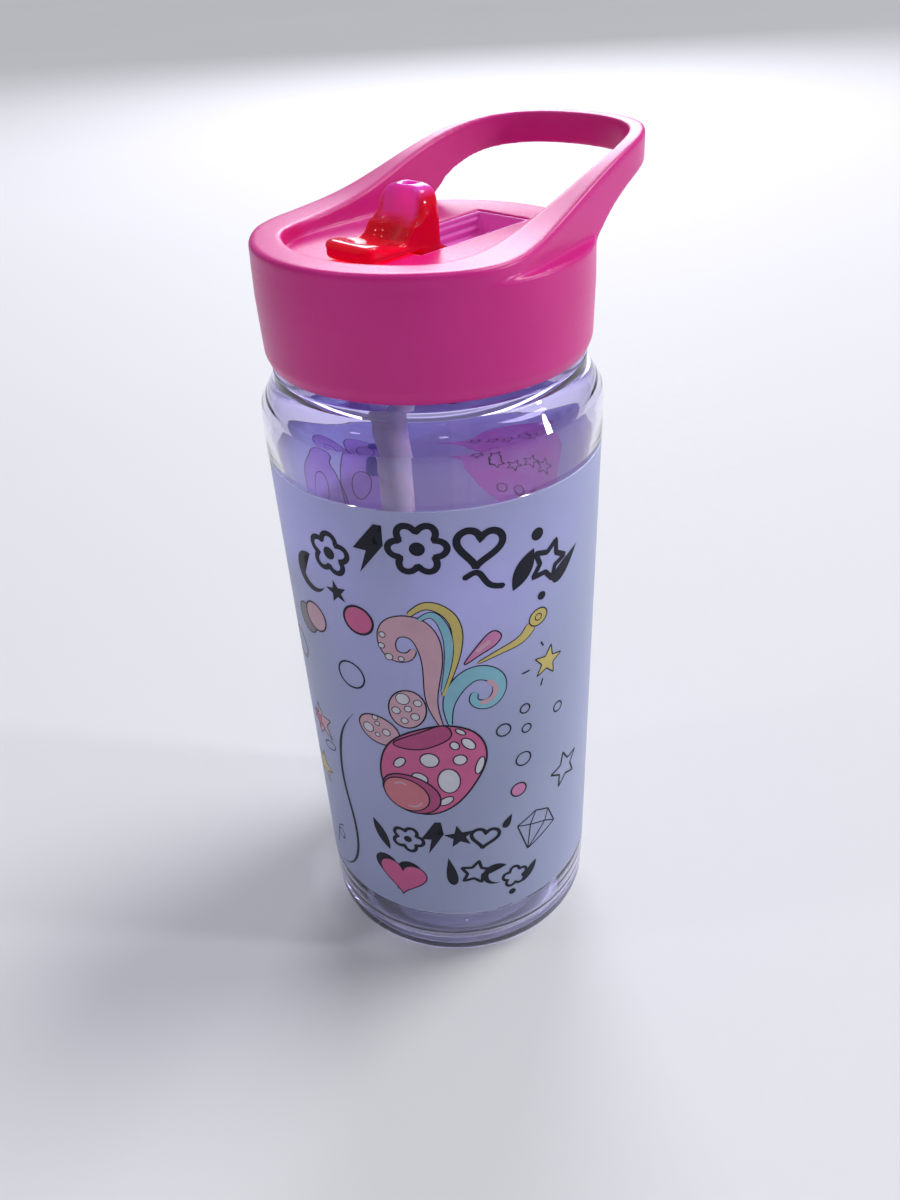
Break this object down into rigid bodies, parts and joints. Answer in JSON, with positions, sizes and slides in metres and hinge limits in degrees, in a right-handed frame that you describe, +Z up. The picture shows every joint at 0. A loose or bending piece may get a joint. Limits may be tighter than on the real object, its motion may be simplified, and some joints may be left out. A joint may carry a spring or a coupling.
{
  "type": "kids water bottle",
  "caption": "Clear cylindrical kids' drinking bottle with a printed film, a screw cap with a slanted loop handle, and a flip-up straw spout that folds back into the cap.",
  "frame": {"origin": "centre of the flat ring the bottle stands on, on the resting plane", "axes": "+Z up the bottle's own axis; +Y towards the rear, where the loop handle overhangs; +X to the side, along the spout's pivot"},
  "size_m": [0.0702, 0.0875, 0.1828],
  "materials": {
    "clear_body": "clear, glossy",
    "film": "translucent lilac-blue film with a print",
    "cap_pink": "satin pink",
    "tray_magenta": "translucent magenta, glossy",
    "spout_red": "translucent red to magenta, glossy",
    "silicone": "translucent white silicone",
    "straw_pink": "pale translucent"
  },
  "bodies": {
    "bottle": {"bottle_body": "clear_body", "print_film": "film"},
    "lid_ring": {"cap_gasket": "silicone"},
    "cap": {"cap_shell": "cap_pink", "spout_tray": "tray_magenta", "spout_seal": "silicone", "vent_valve": "silicone", "straw": "straw_pink"},
    "spout": {"flip_spout": "spout_red"}
  },
  "joints": [
    {"name": "cap_rise", "type": "slide", "parent": "bottle", "child": "lid_ring", "axis": [0, 0, 1], "range_m": [0, 0.005]},
    {"name": "cap_turn", "type": "hinge", "parent": "lid_ring", "child": "cap", "pos_m": [0, 0, 0.1575], "axis": [0, 0, 1], "range_deg": [0, 450]},
    {"name": "spout_flip", "type": "hinge", "parent": "cap", "child": "spout", "pos_m": [0, -0.001, 0.1625], "axis": [-1, 0, 0], "range_deg": [0, 90]}
  ],
  "couplings": [
    {"joint": "cap_rise", "follows": "cap_turn", "m_per_rad": 0.00063662}
  ]
}
